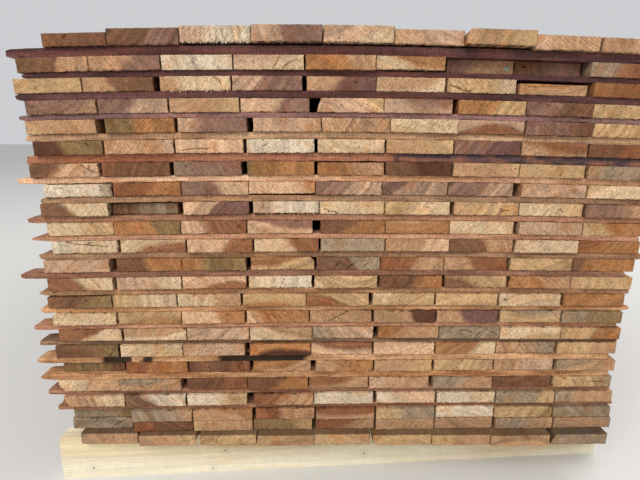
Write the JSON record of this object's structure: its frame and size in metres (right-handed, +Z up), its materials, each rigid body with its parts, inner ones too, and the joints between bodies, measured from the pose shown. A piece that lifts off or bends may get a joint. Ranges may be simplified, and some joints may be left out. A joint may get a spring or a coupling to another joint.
{
  "type": "stack of lumber",
  "caption": "Pack of sawn hardwood boards in stickered layers, laid on thin cross laths and carried on softwood bearers.",
  "frame": {"origin": "middle of the footprint's box, on the ground under the bearers", "axes": "+X to the right along the board ends as seen from the front, +Y along the boards away from the front ends, +Z up"},
  "size_m": [1.2668, 2.4518, 0.9267],
  "materials": {
    "hardwood_board": "sawn",
    "hardwood_lath": "sawn",
    "pine_bearer": "sawn"
  },
  "bodies": {
    "root": {"layer_01": "hardwood_board", "layer_02": "hardwood_board", "layer_03": "hardwood_board", "layer_04": "hardwood_board", "layer_05": "hardwood_board", "layer_06": "hardwood_board", "layer_07": "hardwood_board", "layer_08": "hardwood_board", "layer_09": "hardwood_board", "layer_10": "hardwood_board", "layer_11": "hardwood_board", "layer_12": "hardwood_board", "layer_13": "hardwood_board", "layer_14": "hardwood_board", "layer_15": "hardwood_board", "layer_16": "hardwood_board", "layer_17": "hardwood_board", "layer_18": "hardwood_board", "layer_19": "hardwood_board", "layer_20": "hardwood_board", "layer_21": "hardwood_board", "layer_22": "hardwood_board", "layer_23": "hardwood_board", "laths_row_1": "hardwood_lath", "laths_row_2": "hardwood_lath", "laths_row_3": "hardwood_lath", "laths_row_4": "hardwood_lath", "laths_row_5": "hardwood_lath", "bearer_front": "pine_bearer", "bearer_middle": "pine_bearer", "bearer_rear": "pine_bearer"}
  },
  "joints": []
}
